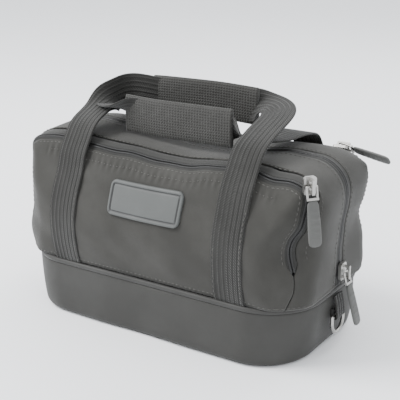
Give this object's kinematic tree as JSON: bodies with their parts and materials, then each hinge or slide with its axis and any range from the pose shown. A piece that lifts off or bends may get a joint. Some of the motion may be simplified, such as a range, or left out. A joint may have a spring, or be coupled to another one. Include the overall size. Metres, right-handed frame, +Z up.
{
  "type": "portable aviation gps carrying case",
  "caption": "Small soft duffel case for a portable aviation GPS, with a stiff base, zipped pockets and webbing handles.",
  "frame": {"origin": "centre of the base's resting face", "axes": "+X to the end with the main zip's slider, -Y to the labelled front pocket, +Z up"},
  "size_m": [0.2983, 0.1562, 0.1985],
  "materials": {
    "boot_fabric": "coated woven nylon, satin",
    "board": "matt sheet",
    "pad": "lined foam",
    "piping": "coated binding",
    "webbing": "ribbed nylon webbing",
    "body_fabric": "plain woven nylon",
    "lining": "smooth woven lining",
    "zip_tape": "fine twill tape",
    "zip_coil": "nylon coil",
    "grip_webbing": "cross-ribbed sleeve",
    "patch_rubber": "moulded rubber",
    "slider_metal": "nickel plated",
    "pull_rubber": "textured rubber"
  },
  "bodies": {
    "base": {"base_boot": "boot_fabric", "base_board": "board", "floor_pad": "pad", "base_piping": "piping", "right_ring_tab": "webbing", "left_ring_tab": "webbing"},
    "front_half": {"front_main_panel": "body_fabric", "front_main_zip_tape": "zip_tape", "front_main_zip_coil": "zip_coil", "front_pocket_zip_upper_tape": "zip_tape", "front_pocket_zip_upper_coil": "zip_coil", "front_divider": "lining", "front_pocket_floor": "lining"},
    "rear_half": {"rear_main_panel": "body_fabric", "rear_main_zip_tape": "zip_tape", "rear_main_zip_coil": "zip_coil", "rear_pocket_zip_upper_tape": "zip_tape", "rear_pocket_zip_upper_coil": "zip_coil", "rear_divider": "lining", "rear_pocket_floor": "lining"},
    "front_flap": {"front_pocket_panel": "body_fabric", "front_pocket_zip_lower_tape": "zip_tape", "front_pocket_zip_lower_coil": "zip_coil", "front_handle_sewn_straps": "webbing", "label_patch": "patch_rubber"},
    "rear_flap": {"rear_pocket_panel": "body_fabric", "rear_pocket_zip_lower_tape": "zip_tape", "rear_pocket_zip_lower_coil": "zip_coil", "rear_handle_sewn_straps": "webbing"},
    "front_handle": {"front_handle_strap": "webbing", "front_handle_grip": "grip_webbing"},
    "rear_handle": {"rear_handle_strap": "webbing", "rear_handle_grip": "grip_webbing"},
    "front_slider": {"front_zip_slider": "slider_metal"},
    "front_pull": {"front_zip_pull_eye": "slider_metal", "front_zip_pull_tab": "pull_rubber"},
    "rear_slider": {"rear_zip_slider": "slider_metal"},
    "rear_pull": {"rear_zip_pull_eye": "slider_metal", "rear_zip_pull_tab": "pull_rubber"},
    "main_slider": {"main_zip_slider": "slider_metal"},
    "main_pull": {"main_zip_pull_eye": "slider_metal", "main_zip_pull_tab": "pull_rubber"},
    "right_ring": {"right_strap_ring": "slider_metal"},
    "left_ring": {"left_strap_ring": "slider_metal"}
  },
  "joints": [
    {"name": "front_half_hinge", "type": "hinge", "parent": "base", "child": "front_half", "pos_m": [0, -0.0738, 0.05015], "axis": [1, 0, 0], "range_deg": [0, 6]},
    {"name": "rear_half_hinge", "type": "hinge", "parent": "base", "child": "rear_half", "pos_m": [0, 0.0738, 0.05015], "axis": [-1, 0, 0], "range_deg": [0, 6]},
    {"name": "front_flap_hinge", "type": "hinge", "parent": "front_half", "child": "front_flap", "pos_m": [0, -0.0738, 0.05015], "axis": [1, 0, 0], "range_deg": [0, 14]},
    {"name": "rear_flap_hinge", "type": "hinge", "parent": "rear_half", "child": "rear_flap", "pos_m": [0, 0.0738, 0.05015], "axis": [-1, 0, 0], "range_deg": [0, 4]},
    {"name": "front_handle_swing", "type": "hinge", "parent": "front_flap", "child": "front_handle", "pos_m": [0, -0.06234, 0.13835], "axis": [1, 0, 0], "range_deg": [0, 120]},
    {"name": "rear_handle_swing", "type": "hinge", "parent": "rear_flap", "child": "rear_handle", "pos_m": [0, 0.05874, 0.13863], "axis": [-1, 0, 0], "range_deg": [0, 36]},
    {"name": "front_zip_slide", "type": "slide", "parent": "front_flap", "child": "front_slider", "axis": [-0.0947, -0.1303, -0.9869], "range_m": [0, 0.03]},
    {"name": "rear_zip_slide", "type": "slide", "parent": "rear_flap", "child": "rear_slider", "axis": [1, 0, 0], "range_m": [0, 0.008]},
    {"name": "main_zip_slide", "type": "slide", "parent": "front_half", "child": "main_slider", "axis": [0.0462, 0, 0.9989], "range_m": [0, 0.05]},
    {"name": "front_pull_swing", "type": "hinge", "parent": "front_slider", "child": "front_pull", "pos_m": [0.13695, -0.05307, 0.147], "axis": [-0.5875, -0.8092, 0], "range_deg": [0, 120]},
    {"name": "rear_pull_swing", "type": "hinge", "parent": "rear_slider", "child": "rear_pull", "pos_m": [0.112, 0.05246, 0.15046], "axis": [0, -0.7071, 0.7071], "range_deg": [0, 120]},
    {"name": "main_pull_swing", "type": "hinge", "parent": "main_slider", "child": "main_pull", "pos_m": [0.1434, 0, 0.065], "axis": [0, -1, 0], "range_deg": [0, 120]},
    {"name": "right_ring_swing", "type": "hinge", "parent": "base", "child": "right_ring", "pos_m": [0.138, 0, 0.028], "axis": [0, -1, 0], "range_deg": [-10, 60]},
    {"name": "left_ring_swing", "type": "hinge", "parent": "base", "child": "left_ring", "pos_m": [-0.138, 0, 0.028], "axis": [0, 1, 0], "range_deg": [-10, 110]}
  ],
  "couplings": [
    {"joint": "rear_half_hinge", "follows": "front_half_hinge", "ratio": 1},
    {"joint": "rear_handle_swing", "follows": "front_handle_swing", "ratio": 0.3}
  ]
}
